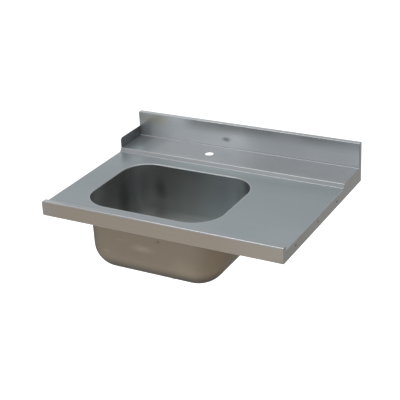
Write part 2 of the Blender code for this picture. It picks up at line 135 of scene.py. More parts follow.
# Waste under the bowl
waste_hole = 0.090
waste_flange = 0.114
waste_flange_round = 0.0007
waste_metal = 0.0015
waste_cup = 0.084
waste_cup_depth = 0.042
cup_round = 0.0025
waste_seat = 0.092
waste_seat_depth = 0.0011
waste_neck = 0.048
waste_neck_length = 0.016
neck_shoulder = 0.002
neck_lead = 0.001
waste_throat = 0.042
waste_funnel = 0.006
waste_round = 0.0015
inner_round = 0.001
seal_thickness = 0.001
under_seal_thickness = 0.003
friction_ring_thickness = 0.001
lock_nut_width = 0.116
lock_nut_height = 0.010
lock_nut_lugs = 6
lug_width = 0.010
lug_depth = 0.005
tail_width = 0.040
tail_length = 0.018
tail_collar = 0.002
tail_nut_width = 0.062
tail_nut_height = 0.020
tail_nut_lip = 0.003
tail_nut_ribs = 24
rib_groove = 0.003
rib_groove_depth = 0.0012
rib_groove_end = 0.0025
thread_pitch = 0.0015
thread_depth = 0.0006

# Lift-out strainer
basket_taper = 0.007
basket_round = 0.002
basket_rim_round = 0.0006
basket_hem_round = 0.0003
drain_hole = 0.0035
drain_hole_pitch = 0.012
drain_hole_steps = 24
drain_ring_shares = (0.46, 0.66)
plug_seal = 0.050
plug_seal_thickness = 0.004
stem = 0.008
knob = 0.022
knob_height = 0.009
knob_foot_share = 0.62
knob_round = 0.003

# Places read from the frame, and places that follow from them
table_low, table_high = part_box("worktop")
bowl_low, bowl_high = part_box("bowl")
origin = Vector((table_low.x, table_low.y, table_low.z + apron_height))
length = table_high.x - table_low.x
depth = table_high.y - table_low.y
splash_top = table_high.z - origin.z
bowl_length = bowl_high.x - bowl_low.x - 2 * bowl_rim
bowl_width = bowl_high.y - bowl_low.y - 2 * bowl_rim
bowl_depth = origin.z - bowl_low.z - bowl_sheet
bowl_x = (bowl_low.x + bowl_high.x) / 2 - origin.x
bowl_y = (bowl_low.y + bowl_high.y) / 2 - origin.y
waste_centre = (bowl_x, bowl_y, 0)
splash_front = depth - splash_thickness
ledge_front = splash_front - ledge_depth
step_foot = ledge_front - step_lean
deck_start = bead_depth + bead_lean + edge_bend
cheek_top = ledge_height + cheek_rise
rear_left = side_bend
rear_right = length - sheet
cheek_left = rear_left - sheet - clearance
under_deck = -sheet
under_bowl = -bowl_depth - bowl_sheet
flange_level = seal_thickness + 2 * clearance - bowl_depth
flange_top = flange_level + waste_metal
seat_level = flange_top - waste_seat_depth
cup_floor = flange_level - waste_cup_depth
neck_top = cup_floor - waste_funnel
neck_end = neck_top - waste_neck_length
cup_bore = waste_cup / 2 - waste_metal
neck_bore = waste_throat / 2 - waste_metal
funnel_slope = waste_funnel / (cup_bore - neck_bore)
plug_seat = neck_top + waste_metal + funnel_slope * waste_metal
basket_rim_level = seat_level + clearance
basket_floor = plug_seat + plug_seal_thickness + 2 * clearance
basket_depth = basket_rim_level - basket_floor

# The corner and the size of the boxes whose shares place the soft marks, most of them painted light and shade
table_box = ((0, 0, 0), (length, depth, splash_top))
bowl_box = (
    (bowl_x - bowl_length / 2, bowl_y - bowl_width / 2, 0),
    (bowl_length, bowl_width, bowl_depth),
)


def set_all(thing, settings):
    for key, value in settings.items():
        setattr(thing, key, value)


# Shader helpers


def node(tree, kind, inputs, output=0, **settings):
    """Add a shader node whose inputs are values or other nodes' outputs, and give one of its outputs."""
    made = tree.nodes.new("ShaderNode" + kind)
    set_all(made, settings)
    for socket, value in inputs.items():
        if isinstance(value, bpy.types.NodeSocket):
            tree.links.new(value, made.inputs[socket])
        else:
            made.inputs[socket].default_value = value
    return made.outputs[output] if made.outputs else None


def noise(tree, place, scale, detail=2.0):
    """Noise from 0 to 1, with a scale for each axis in waves per metre."""
    waves = node(tree, "Mapping", {"Vector": place, "Scale": scale})
    return node(tree, "TexNoise", {"Vector": waves, "Scale": 1.0, "Detail": detail})


def ramp(tree, value, low, high):
    """A smooth step from 0 to 1 as the value goes from low to high."""
    limits = {"Value": value, "From Min": low, "From Max": high}
    return node(tree, "MapRange", limits, interpolation_type="SMOOTHSTEP")


def maths(tree, operation, first, second):
    return node(tree, "Math", {0: first, 1: second}, operation=operation)


def vectors(tree, operation, first, second):
    return node(tree, "VectorMath", {0: first, 1: second}, operation=operation)


def scaled(tree, colour, factor):
    return node(tree, "VectorMath", {0: colour, "Scale": factor}, operation="SCALE")


def colour_mix(tree, share, first, second):
    """A mix of two colours, whose sockets on the node are 6 and 7, with the result on output 2."""
    return node(tree, "Mix", {0: share, 6: first, 7: second}, 2, data_type="RGBA")


def swinging(tree, value, *swings):
    """A value times factors that swing about 1, each a noise from 0 to 1 and an amount."""
    for waves, amount in swings:
        factor = node(tree, "MapRange", {"Value": waves, "To Min": 1 - amount, "To Max": 1 + amount})
        value = maths(tree, "MULTIPLY", value, factor)
    return value


def new_material(name):
    """A material without nodes, and its tree."""
    made = bpy.data.materials.new(name)
    made.use_nodes = True
    made.node_tree.nodes.clear()
    return made, made.node_tree


def finish_with(tree, shader):
    node(tree, "OutputMaterial", {"Surface": shader})


# Steel materials, most of them lit and shaded copies with painted reflections, highlights and shade

grain_fine = 1500.0
grain_long = 9.0
streak_fine = 130.0
streak_long = 1.6
smudge_scale = (4.5, 5.5, 7.0)
fine_detail = 3.0
noise_middle = 0.5
grain_swing = 0.05
grain_rough_swing = 0.15
smudge_rough_swing = 0.12
rolled_smudge = 0.10
grain_bump = 0.12
grain_depth = 0.0002
waver = 0.02
waver_scale = 7.0
mould_scale = 40.0
mould_detail = 4.0
mould_swing = 0.08
mould_grain_swing = 0.06
mould_rough_swing = 0.12
mould_bump = 0.3
far = 12.0
# The first tint paints the sky's bluish reflection on the deck.
sky_reflection_tint = (0.87, 1.0, 1.06)
grey = (0.95, 1.0, 1.04)
neutral = (1.0, 1.0, 0.98)
bowl_tint = (0.89, 1.0, 1.06)
# The warm and brown tints paint the ground's brownish reflection on the front apron and the bowl's outside.
ground_reflection_tint = (1.165, 1.0, 0.81)
bowl_ground_reflection_tint = (1.18, 1.0, 0.77)


def stretched(along, fine, long):
    """Noise scales per axis, with the long waves along the brushing."""
    return tuple(long if axis == along else fine for axis in "XYZ")


def opaque(colour):
    """A colour for a socket, from three values or from one for all three."""
    return (*colour, 1) if isinstance(colour, tuple) else (colour, colour, colour, 1)


def plain(level):
    """Stops for one level all along the table."""
    return ((0, level), (1, level))


def level_by_length(tree, share, levels):
    """A level that runs through stops, each a share of the table's length and its level."""
    colour = node(tree, "ValToRGB", {"Fac": share})
    stops = colour.node.color_ramp.elements
    for stop, (place, level) in zip(stops, (levels[0], levels[-1])):
        stop.position = place
        stop.color = opaque(level)
    for place, level in levels[1:-1]:
        stops.new(place).color = opaque(level)
    colour.node.color_ramp.interpolation = "EASE"
    return colour


def wavering(tree, place):
    """The place, shifted a little by a soft noise, so that no mark has a clean edge."""
    cloud = node(tree, "TexNoise", {"Vector": place, "Scale": waver_scale, "Detail": fine_detail}, "Color")
    shift = vectors(tree, "SUBTRACT", cloud, (noise_middle,) * 3)
    return vectors(tree, "ADD", place, scaled(tree, shift, waver))


def marked(tree, share, colour, middle, reach, change):
    """The colour times a change in the middle of a soft mark that fades out at its reach."""
    away = vectors(tree, "DIVIDE", vectors(tree, "SUBTRACT", share, middle), reach)
    distance = node(tree, "VectorMath", {0: away}, "Value", operation="LENGTH")
    factor = colour_mix(tree, ramp(tree, distance, 1, 0), opaque(1), opaque(change))
    return vectors(tree, "MULTIPLY", colour, factor)


def steel(
    name, levels, tint, mark_shares=(), roughness=0.34, along="X", box=table_box,
    metallic=0.55, smudge=grain_swing, edge=None, grazing=1
):
    """Brushed or satin steel with its level along the table, its tint and its soft marks, which in the zone
    steels are painted reflections, highlights and shade.

    A mark has its middle and its reach in shares of a box, and its change.  An edge is two shares of
    the splash's height, with the levels that take over between them.  Grazing is how much of the
    reflection is left where the surface turns away.
    """
    made, tree = new_material(name)
    place = node(tree, "TexCoord", {}, "Object")
    unsteady = wavering(tree, vectors(tree, "SUBTRACT", place, origin))
    on_table = vectors(tree, "DIVIDE", unsteady, table_box[1])
    share = node(tree, "SeparateXYZ", {0: on_table}, "X")
    level = level_by_length(tree, share, levels)
    if edge:
        start, end, edge_levels = edge
        rise = ramp(tree, node(tree, "SeparateXYZ", {0: on_table}, "Z"), start, end)
        level = colour_mix(tree, rise, level, level_by_length(tree, share, edge_levels))
    colour = vectors(tree, "MULTIPLY", level, tint)
    in_box = vectors(tree, "DIVIDE", vectors(tree, "SUBTRACT", unsteady, box[0]), box[1])
    for middle, reach, change in mark_shares:
        colour = marked(tree, in_box, colour, middle, reach, change)
    fine = noise(tree, place, stretched(along, grain_fine, grain_long), fine_detail)
    long = noise(tree, place, stretched(along, streak_fine, streak_long))
    soft = noise(tree, place, smudge_scale, fine_detail)
    factor = swinging(tree, 1, (fine, grain_swing), (long, grain_swing), (soft, smudge))
    inputs = {
        "Base Color": scaled(tree, colour, factor),
        "Roughness": swinging(tree, roughness, (fine, grain_rough_swing), (soft, smudge_rough_swing)),
        "Metallic": metallic,
        "Normal": node(tree, "Bump", {"Height": fine, "Strength": grain_bump, "Distance": grain_depth}),
        "Specular Tint": opaque(grazing),
    }
    finish_with(tree, node(tree, "BsdfPrincipled", inputs))
    return made


def deck_steel():
    # Painted reflection levels, lighter to the right, with painted shade at the front right and in a band
    # across the middle, and painted light behind the bowl and along the front.
    levels = ((0, 0.219), (0.5, 0.226), (1, 0.236))
    mark_shares = (
        ((0.78, 0.107, 0), (0.16, 0.16, far), (0.93, 0.95, 0.96)),
        ((0.4, 0.76, 0), (0.6, 0.12, far), 1.22),
        ((0.5, 0.4, 0), (far, 0.293, far), 0.93),
        ((0.65, 0.04, 0), (0.3, 0.093, far), 1.07),
    )
    return steel("deck_steel", levels, sky_reflection_tint, mark_shares)


def ledge_steel():
    """Painted reflection levels along its length, darkest at the left in a painted reflection of the cheek,
    and lighter at the back.
    """
    levels = ((0, 0.14), (0.05, 0.16), (0.1, 0.245), (0.18, 0.33), (0.42, 0.335), (0.7, 0.259), (1, 0.29))
    mark_shares = (
        ((0.5, 0.97, 0), (far, 0.173, far), 1.06),
        ((0.06, 0.76, 0), (0.14, 0.213, far), (0.93, 1.03, 1.09)),
    )
    return steel("ledge_steel", levels, grey, mark_shares)


def step_steel():
    # Painted reflection levels, darker towards the ends.
    return steel("step_steel", ((0, 0.2), (0.06, 0.24), (0.6, 0.236), (1, 0.208)), grey)


def splash_steel():
    """Painted reflection levels, light in its left half, with a painted dark band at the top edge and, above
    the tap hole, a painted reflection of that hole.
    """
    levels = ((0, 0.23), (0.04, 0.32), (0.08, 0.47), (0.2, 0.55), (0.42, 0.61), (0.62, 0.51), (1, 0.53))
    # The dark band along the top edge is a painted reflection, with its own levels along the length.
    band = ((0, 0.2), (0.09, 0.32), (0.2, 0.54), (0.28, 0.35), (0.42, 0.33), (0.6, 0.31))
    band += ((0.7, 0.4), (0.8, 0.3), (1, 0.36))
    # Darker, warmer patches at the left end, a painted lighter reflection in the middle and the painted dark
    # reflection of the tap hole.
    mark_shares = (
        ((0.03, 0.97, 0.767), (0.09, far, 0.292), (0.82, 0.82, 0.73)),
        ((0.1, 0.97, 0.833), (0.07, far, 0.375), (0.97, 0.93, 0.8)),
        ((0.47, 0.97, 0.583), (0.1, far, 0.5), 1.12),
        ((0.419, 0.97, 0.45), (0.028, far, 0.125), 0.42),
    )
    return steel("splash_steel", levels, grey, mark_shares, edge=(0.517, 0.983, band))


def front_steel():
    # Painted reflection levels; the warm tint paints the ground's reflection, and the marks paint greyer
    # shading on the rounded left end, a cooler right end and a darker patch low at the right end.
    levels = ((0, 0.219), (0.1, 0.208), (0.7, 0.222), (1, 0.24))
    mark_shares = (
        ((0, 0, 0), (0.13, far, far), (0.94, 1.0, 1.12)),
        ((1, 0, 0), (0.3, far, far), (0.99, 1.04, 1.12)),
        ((1, 0, -0.417), (0.1, far, 0.25), 0.74),
    )
    return steel("front_apron_steel", levels, ground_reflection_tint, mark_shares, 0.36)


def end_steel():
    # A dark level that paints the end faces' shade, darker towards the front and lighter in a band at the
    # back.
    mark_shares = (((1, 0, 0), (far, 0.6, far), 0.91), ((1, 1, 1), (far, 0.04, 0.667), 1.25))
    return steel("end_apron_steel", plain(0.086), (1.04, 1.0, 0.9), mark_shares, 0.36, "Y")


def bend_steel():
    """Painted highlights on the bends, lighter than the flats, held back by painted shade on the lip at the
    bowl's left side.
    """
    levels = ((0, 0.25), (0.2, 0.32), (0.5, 0.27), (1, 0.255))
    mark_shares = (((0, 0.5, 0), (0.088, 0.514, far), 0.7),)
    return steel("bend_steel", levels, grey, mark_shares, 0.3, box=bowl_box)


def bead_bend_steel():
    # A painted highlight line along the bead's front bend, brightest at the left end.
    return steel("bead_bend_steel", ((0, 0.38), (0.16, 0.31), (1, 0.31)), grey, roughness=0.28)


def dull_bend_steel():
    """The bend between ledge and upstand, with painted levels and a rougher surface so that its highlight
    hardly shows.
    """
    levels = ((0, 0.21), (0.15, 0.26), (0.3, 0.25), (0.45, 0.245), (0.6, 0.215), (0.8, 0.205), (1, 0.225))
    return steel("dull_bend_steel", levels, grey, roughness=0.4)


def bead_steel():
    # A painted highlight on the bead's top towards the left end.
    return steel("bead_steel", ((0, 0.3), (0.14, 0.225), (1, 0.225)), grey, roughness=0.32)


def crown_steel():
    # A painted highlight on the upstand's top and the plates' edges, lighter at the left.
    return steel("crown_steel", ((0, 0.36), (0.5, 0.33), (0.8, 0.26), (1, 0.26)), grey, roughness=0.3)


def cheek_steel():
    """Painted shade on the cheek's inner face, darker still at the back."""
    mark_shares = (((0, 0.97, 0), (far, 0.187, far), 0.68),)
    return steel("cheek_steel", plain(0.19), grey, mark_shares, 0.38, "Y")


def mill_steel():
    return steel("mill_steel", plain(0.24), neutral, roughness=0.44, smudge=rolled_smudge)


def bowl_inside_steel():
    """Painted reflections and shade: lighter to the right and with depth, darkest at the very bottom, with
    soft painted dark bands where the pressed corners mirror their surroundings.
    """
    levels = ((0.11, 0.127), (0.2, 0.162), (0.28, 0.178), (0.36, 0.208), (0.5, 0.266), (0.68, 0.302))
    mark_shares = (
        ((0.5, 0.5, -1), (far, far, 0.856), 2.25),
        ((0.5, 0.5, -1), (far, far, 0.205), 0.45),
        ((0, 0.5, 0), (1, far, far), (1.07, 1.0, 0.89)),
        ((0, 0.754, -0.479), (0.088, 0.187, 0.479), 0.52),
        ((0.033, 0.873, -0.479), (0.053, 0.07, far), 0.76),
        ((0.088, 0.953, -0.342), (0.123, 0.164, 0.411), 0.74),
        ((0.202, 1, -0.377), (0.079, 0.14, 0.24), 0.6),
        ((0.431, 1, 0), (0.351, 0.187, 0.24), 0.8),
        ((0.167, 1, -0.753), (0.158, 0.234, 0.274), 0.72),
        ((0.044, 0.882, -0.822), (0.088, 0.14, 0.24), 0.72),
        ((0, 0.298, -0.103), (0.105, 0.21, 0.308), 1.5),
        ((0, 0, 0), (0.176, 0.467, far), 1.2),
        ((0.94, 0.929, -0.068), (0.105, 0.164, 0.377), 0.36),
        ((0.8, 1, -0.274), (0.088, 0.117, 0.411), 1.12),
    )
    return steel("bowl_inside_steel", levels, bowl_tint, mark_shares, 0.36, "", bowl_box)


def bowl_outside_steel():
    """Satin, with a brownish painted ground reflection, painted shade towards its ends and its foot, and a
    few lighter patches and one darker spot on its front.
    """
    mark_shares = (
        ((0.5, 0.5, -1), (far, far, 0.291), 0.22),
        ((0, 0.5, 0), (0.132, far, far), 0.5),
        ((1, 0.266, 0), (0.176, 0.935, far), (0.78, 0.72, 0.65)),
        ((0.483, 0, -0.514), (0.123, 0.234, 0.075), 1.3),
        ((0.325, 0, -0.445), (0.088, 0.234, 0.041), 1.08),
        ((0.192, 0, -0.651), (0.062, 0.234, 0.048), 1.15),
        ((0.782, 0, -0.685), (0.141, 0.234, 0.205), 1.12),
        ((0.608, 0, -0.356), (0.016, 0.234, 0.031), 0.62),
    )
    return steel(
        "bowl_outside_steel", plain(0.174), bowl_ground_reflection_tint, mark_shares, 0.42, "", bowl_box,
        smudge=rolled_smudge, grazing=0.1
    )


def rim_steel():
    """The weld round the bowl, lighter than the deck, with painted highlights behind it and in its back left
    corner and painted shade at the left.
    """
    mark_shares = (
        ((0.5, 1, 0), (far, 0.28, far), 1.3),
        ((0, 0.5, 0), (0.07, 0.467, far), 0.82),
        ((0.088, 0.94, 0), (0.105, 0.14, far), 2.0),
    )
    return steel("rim_weld_and_highlight_steel", plain(0.26), grey, mark_shares, 0.32, "", bowl_box)


def turned_steel():
    return steel("turned_steel", plain(0.42), neutral, roughness=0.24, along="Z", metallic=0.9)


def zinc_steel():
    tint = (1.02, 1.0, 0.9)
    return steel("zinc_steel", plain(0.39), tint, roughness=0.38, along="", metallic=0.9)


def moulded(name, colour, roughness, grain, depth):
    """Moulded rubber or plastic with a fine surface grain and faint mould marks."""
    made, tree = new_material(name)
    place = node(tree, "TexCoord", {}, "Object")
    fine = noise(tree, place, (grain,) * 3, mould_detail)
    soft = noise(tree, place, (mould_scale,) * 3)
    factor = swinging(tree, 1, (soft, mould_swing), (fine, mould_grain_swing))
    inputs = {
        "Base Color": scaled(tree, colour, factor),
        "Roughness": swinging(tree, roughness, (fine, mould_rough_swing)),
        "Normal": node(tree, "Bump", {"Height": fine, "Strength": mould_bump, "Distance": depth}),
    }
    finish_with(tree, node(tree, "BsdfPrincipled", inputs))
    return made


def black_rubber():
    return moulded("black_rubber", (0.022, 0.022, 0.022), 0.72, 1800.0, 0.0002)


def white_nylon():
    return moulded("white_nylon", (0.7, 0.7, 0.67), 0.42, 900.0, 0.0001)


deck = deck_steel()
ledge = ledge_steel()
step_face = step_steel()
splash = splash_steel()
front_face = front_steel()
end_face = end_steel()
bends = bend_steel()
bead_bends = bead_bend_steel()
dull_bends = dull_bend_steel()
bead = bead_steel()
crown = crown_steel()
cheek = cheek_steel()
mill = mill_steel()
bowl_inside = bowl_inside_steel()
bowl_outside = bowl_outside_steel()
rim = rim_steel()
turned = turned_steel()
zinc = zinc_steel()
rubber = black_rubber()
nylon = white_nylon()


# Mesh helpers


def new_object(name, data):
    made = bpy.data.objects.new(name, data)
    scene.collection.objects.link(made)
    return made


def new_piece(name, shape, *finishes):
    mesh = bpy.data.meshes.new(name)
    shape.to_mesh(mesh)
    shape.free()
    for finish in finishes:
        mesh.materials.append(finish)
    return new_object(name, mesh)


def modify(piece, kind, **settings):
    set_all(piece.modifiers.new(kind, kind), settings)


def thicken(piece, thickness):
    """Give an open surface its thickness.  The other side takes the last of the piece's finishes."""
    modify(
        piece, "SOLIDIFY", thickness=thickness, offset=-1.0, use_even_offset=True,
        use_quality_normals=True, material_offset=len(piece.data.materials)
    )


def cut(piece, shape):
    """Take a closed shape out of a piece."""
    cutter = new_piece(piece.name + "_cutter", shape)
    modify(piece, "BOOLEAN", operation="DIFFERENCE", solver="EXACT", object=cutter)


def tilted(centre, axis):
    """The matrix that moves upright shapes to a centre and turns them to an axis."""
    return Matrix.Translation(centre) @ Vector(upwards).rotation_difference(Vector(axis)).to_matrix().to_4x4()


def add_round(shape, diameter, centre, reach, axis=upwards, steps=turn_steps):
    radius = diameter / 2
    bmesh.ops.create_cone(
        shape, cap_ends=True, segments=steps, radius1=radius, radius2=radius, depth=reach,
        matrix=tilted(centre, axis)
    )


def drill(piece, *hole):
    """Take out a round that is given as in add_round."""
    shape = bmesh.new()
    add_round(shape, *hole)
    cut(piece, shape)


def settle(piece, slot, *nodes, body="table"):
    """Apply a piece's modifiers, put it in its place, hand it to its body and hide the CAD nodes that it
    takes the place of.
    """
    graph = bpy.context.evaluated_depsgraph_get()
    mesh = bpy.data.meshes.new_from_object(piece.evaluated_get(graph), depsgraph=graph)
    cutters = [modifier.object for modifier in piece.modifiers if modifier.type == "BOOLEAN"]
    piece.modifiers.clear()
    piece.data = mesh
    for cutter in cutters:
        bpy.data.objects.remove(cutter)
    mesh.transform(Matrix.Translation(origin))
    mesh.shade_smooth()
    mesh.set_sharp_from_angle(angle=smooth_up_to)
    modify(piece, "WEIGHTED_NORMAL", keep_sharp=True)
    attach(piece, body)
    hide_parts(*nodes)


def quarter_turn(steps):
    """The angles from zero to a right angle."""
    return [pi / 2 * (step / steps) for step in range(steps + 1)]


def bend(before, corner, after, radius):
    """The points of the bend that replaces a corner of a folded path, as large as its sides allow."""
    corner = Vector(corner)
    if radius == 0:
        return [corner]
    back = Vector(before) - corner
    ahead = Vector(after) - corner
    half = back.angle(ahead) / 2
    radius = min(radius, min(back.length, ahead.length) / 2 * tan(half))
    back.normalize()
    ahead.normalize()
    centre = corner + (back + ahead).normalized() * radius / sin(half)
    first = (corner + back * radius / tan(half) - centre).normalized()
    last = (corner + ahead * radius / tan(half) - centre).normalized()
    return [centre + first.slerp(last, step / bend_steps) * radius for step in range(bend_steps + 1)]


def folded_path(*corners):
    """A path through (across, up, bend radius) corners, with each inner corner rounded."""
    path = [Vector(corners[0][:2])]
    for before, corner, after in zip(corners, corners[1:], corners[2:]):
        path += bend(before[:2], corner[:2], after[:2], corner[2])
    path.append(Vector(corners[-1][:2]))
    return path


def closed_path(*corners, edge=edge_break):
    """The same for a closed outline, in which a corner without a radius takes the edge's."""
    path = []
    for before, corner, after in zip(corners[-1:] + corners, corners, corners[1:] + corners[:1]):
        path += bend(before[:2], corner[:2], after[:2], corner[2] if len(corner) > 2 else edge)
    return path


def draw_line(shape, places):
    """Edges from place to place."""
    points = [shape.verts.new(place) for place in places]
    return [shape.edges.new(pair) for pair in zip(points, points[1:])]


def draw_band(shape, ring, next_ring):
    """The faces between two rings that have equally many points."""
    corners = zip(ring, ring[1:] + ring[:1], next_ring[1:] + next_ring[:1], next_ring)
    return [shape.faces.new(four) for four in corners]


def give_finishes(shape, finishes, zone):
    """Give each face the finish that a zone function finds for it."""
    for face in shape.faces:
        face.material_index = finishes.index(zone(face))


def face_out(shape):
    bmesh.ops.recalc_face_normals(shape, faces=shape.faces)


def moved_points(shape, drawn, shift):
    """Move the points among newly drawn items by a shift, and return them."""
    moved = [item for item in drawn if isinstance(item, bmesh.types.BMVert)]
    bmesh.ops.translate(shape, verts=moved, vec=shift)
    return moved


def draw_out(shape, edges, shift):
    """Extrude open edges by a shift, and return the new edges."""
    drawn = bmesh.ops.extrude_edge_only(shape, edges=edges)["geom"]
    moved = set(moved_points(shape, drawn, shift))
    return [item for item in drawn if isinstance(item, bmesh.types.BMEdge) and moved.issuperset(item.verts)]


def solid_from(outline, shift):
    """A closed shape: the face inside an outline, extruded by a shift."""
    shape = bmesh.new()
    face = shape.faces.new([shape.verts.new(point) for point in outline])
    moved_points(shape, bmesh.ops.extrude_face_region(shape, geom=[face])["geom"], shift)
    face_out(shape)
    return shape


def face_up(shape):
    """Point an open sheet's faces to the side from which its largest level face is seen."""
    face_out(shape)
    level = max(shape.faces, key=lambda face: face.calc_area() * abs(face.normal.z))
    if level.normal.z < 0:
        bmesh.ops.reverse_faces(shape, faces=shape.faces)


def bead_section(level, back, foot, inset=0, front=0):
    """The section from the apron's foot round the bead to the deck, on or inside the sheet's face."""
    tighter = edge_bend - inset
    return folded_path(
        (foot, inset - apron_height, 0), (front + inset, inset - apron_height, tighter),
        (front + inset, level, tighter), (bead_depth - inset, level, tighter),
        (bead_depth + bead_lean - inset, -inset, small_bend + inset), (back, -inset, 0),
    )


front_path = bead_section(bead_height, deck_start, return_flange)

rear_path = folded_path(
    (bead_depth + bead_lean, 0, 0),
    (step_foot, 0, small_bend),
    (ledge_front, ledge_height, edge_bend),
    (splash_front, ledge_height, edge_bend),
    (splash_front, splash_top, small_bend),
    (depth, splash_top, small_bend),
    (depth, splash_top - splash_hem, 0),
)[1:]
deck_back = rear_path[0].x


# Worktop

worktop_steels_with_painted_light = (
    deck, ledge, splash, step_face, front_face, end_face, bends, bead_bends, dull_bends, bead, crown, mill
)
flat_enough = 0.999
upright_enough = 0.3
above_deck = 0.002


def worktop_zone(face):
    """The steel of a face of the open worktop sheet, by where it is and which way it faces; most are lit and
    shaded copies with painted light.
    """
    middle = face.calc_center_median()
    normal = face.normal
    if abs(normal.z) > flat_enough:
        if middle.z < -above_deck:
            return mill
        if middle.y > splash_front:
            return crown
        if middle.y < bead_depth and middle.z > above_deck:
            return bead
        return ledge if middle.z > above_deck else deck
    if abs(normal.x) > flat_enough:
        return end_face
    if normal.y < -flat_enough:
        return front_face if middle.y < bead_depth else splash
    if normal.y > flat_enough:
        return mill
    leans = face.calc_area() > ledge_height / 2 * min(edge.calc_length() for edge in face.edges)
    if leans and abs(middle.y - (step_foot + ledge_front) / 2) < step_lean / 4:
        return step_face
    if abs(middle.y - splash_front) < edge_bend and middle.z < ledge_height + edge_bend:
        return dull_bends
    if middle.y < edge_bend:
        return bead_bends if middle.z > above_deck else front_face
    return bends


def side_fold(shape, edges, outward):
    """Fold the deck's end edge down into a side apron with a return at its foot."""
    angles = quarter_turn(bend_steps)
    for now, then in zip(angles, angles[1:]):
        across = outward * side_bend * (sin(then) - sin(now))
        edges = draw_out(shape, edges, (across, 0, side_bend * (cos(then) - cos(now))))
    edges = draw_out(shape, edges, (0, 0, side_bend - apron_height))
    draw_out(shape, edges, (-outward * side_return, 0, 0))


def behind_bead(edges):
    start = deck_start - edge_break
    return [edge for edge in edges if min(vertex.co.y for vertex in edge.verts) > start]


def longest(edges):
    return max(edges, key=lambda edge: edge.calc_length())


def open_worktop():
    """The worktop as an open surface, with the steel of each face."""
    shape = bmesh.new()
    left_edges = draw_line(shape, [(corner_width, across, up) for across, up in front_path + rear_path])
    right_edges = draw_out(shape, list(left_edges), (length - 2 * corner_width, 0, 0))
    inner_left = draw_out(shape, behind_bead(left_edges), (side_bend - corner_width, 0, 0))
    inner_right = draw_out(shape, behind_bead(right_edges), (corner_width - side_bend, 0, 0))
    fold_right = longest(inner_right)
    side_fold(shape, [longest(inner_left)], -1)
    side_fold(shape, [fold_right], 1)
    rear_edges = [edge for edge in inner_right if edge is not fold_right]
    draw_out(shape, rear_edges, (rear_right - length + side_bend, 0, 0))
    face_up(shape)
    give_finishes(shape, worktop_steels_with_painted_light, worktop_zone)
    return shape


def bowl_ring(inset, radius, level):
    """A level ring at an inset from the bowl's opening, with equal points on each corner."""
    ring = []
    for quarter, (side_x, side_y) in enumerate(((1, 1), (-1, 1), (-1, -1), (1, -1))):
        for step in range(corner_steps + 1):
            angle = pi / 2 * (quarter + step / corner_steps)
            across = side_x * (bowl_length / 2 - inset - radius) + radius * cos(angle)
            along = side_y * (bowl_width / 2 - inset - radius) + radius * sin(angle)
            ring.append((bowl_x + across, bowl_y + along, level))
    return ring


def outer_rim(level):
    """The line where the bowl's rim is welded into the deck."""
    return bowl_ring(-bowl_rim, bowl_corner + bowl_rim, level)


def build_worktop():
    worktop = new_piece("worktop_sheet", open_worktop(), *worktop_steels_with_painted_light)
    thicken(worktop, sheet)
    cut(worktop, solid_from(outer_rim(-overrun), (0, 0, 2 * overrun)))
    drill(worktop, tap_hole, (tap_hole_x, splash_front - tap_hole_back, ledge_height), overrun)
    for share in bolt_hole_shares:
        drill(worktop, bolt_hole, (length, depth * share, -apron_height / 2), overrun, sideways)
    settle(worktop, "brushed_worktop_steel", "worktop")


# Bowl

bowl_steels_with_painted_light = (rim, bends, bowl_inside, bowl_outside)


def bowl_rings():
    """Rings of the bowl's inner face with the steel of the band below each, one of the copies with painted
    light and shade.
    """
    rings = [(outer_rim(0), rim)]
    for angle in quarter_turn(lip_steps):
        inset = bowl_lip * sin(angle)
        tighter = (bowl_corner - bowl_wall_corner) * sin(angle)
        level = bowl_lip * (cos(angle) - 1)
        finish = bends if angle < pi / 2 else bowl_inside
        rings.append((bowl_ring(inset, bowl_corner - tighter, level), finish))
    wall_height = bowl_depth - bowl_lip - bowl_floor_bend
    wall_inset = bowl_lip + wall_height * tan(bowl_draft)
    for angle in quarter_turn(floor_bend_steps):
        turn_in = bowl_floor_bend * (1 - cos(angle))
        level = -bowl_lip - wall_height - bowl_floor_bend * sin(angle)
        rings.append((bowl_ring(wall_inset + turn_in, bowl_wall_corner - turn_in, level), bowl_inside))
    return rings


def build_bowl():
    shape = bmesh.new()
    rings = [([shape.verts.new(point) for point in ring], finish) for ring, finish in bowl_rings()]
    for (upper, finish), (lower, _) in zip(rings, rings[1:]):
        for face in draw_band(shape, upper, lower):
            face.material_index = bowl_steels_with_painted_light.index(finish)
    floor = shape.faces.new(rings[-1][0])
    floor.material_index = bowl_steels_with_painted_light.index(bowl_inside)
    face_up(shape)
    bowl = new_piece("bowl_pressing", shape, *bowl_steels_with_painted_light)
    thicken(bowl, bowl_sheet)
    drill(bowl, waste_hole, (bowl_x, bowl_y, under_bowl), overrun)
    settle(bowl, "pressed_bowl_steel", "bowl")


# Ends of the bead

corner_steels_with_painted_light = (front_face, end_face, bead_bends, bead, mill)


def bead_levels(width, fall, inset):
    """Distances from the end face, each with the bead's level and front, on or inside the sheet."""
    levels = [(width, bead_height - inset, 0)]
    if fall == 0:
        return levels + [(inset, bead_height - inset, 0)]
    reach = fall - inset
    for angle in quarter_turn(bend_steps):
        front = (corner_turn - inset) * (1 - cos(angle))
        levels.append((fall - reach * sin(angle), bead_height - fall + reach * cos(angle), front))
    return levels


def corner_block(outer, inward, levels, foot, inset=0, closing=()):
    """The shape through the bead's sections at some levels, each closed by further points."""
    shape = bmesh.new()
    loops = []
    for distance, level, front in levels:
        x = outer + inward * distance
        section = bead_section(level, deck_start, foot, inset, front) + list(closing)
        loops.append([shape.verts.new((x, across, up)) for across, up in section])
    for loop, nearer in zip(loops, loops[1:]):
        draw_band(shape, loop, nearer)
    shape.faces.new(loops[0])
    shape.faces.new(loops[-1])
    face_out(shape)
    bmesh.ops.triangulate(shape, faces=shape.faces)
    return shape


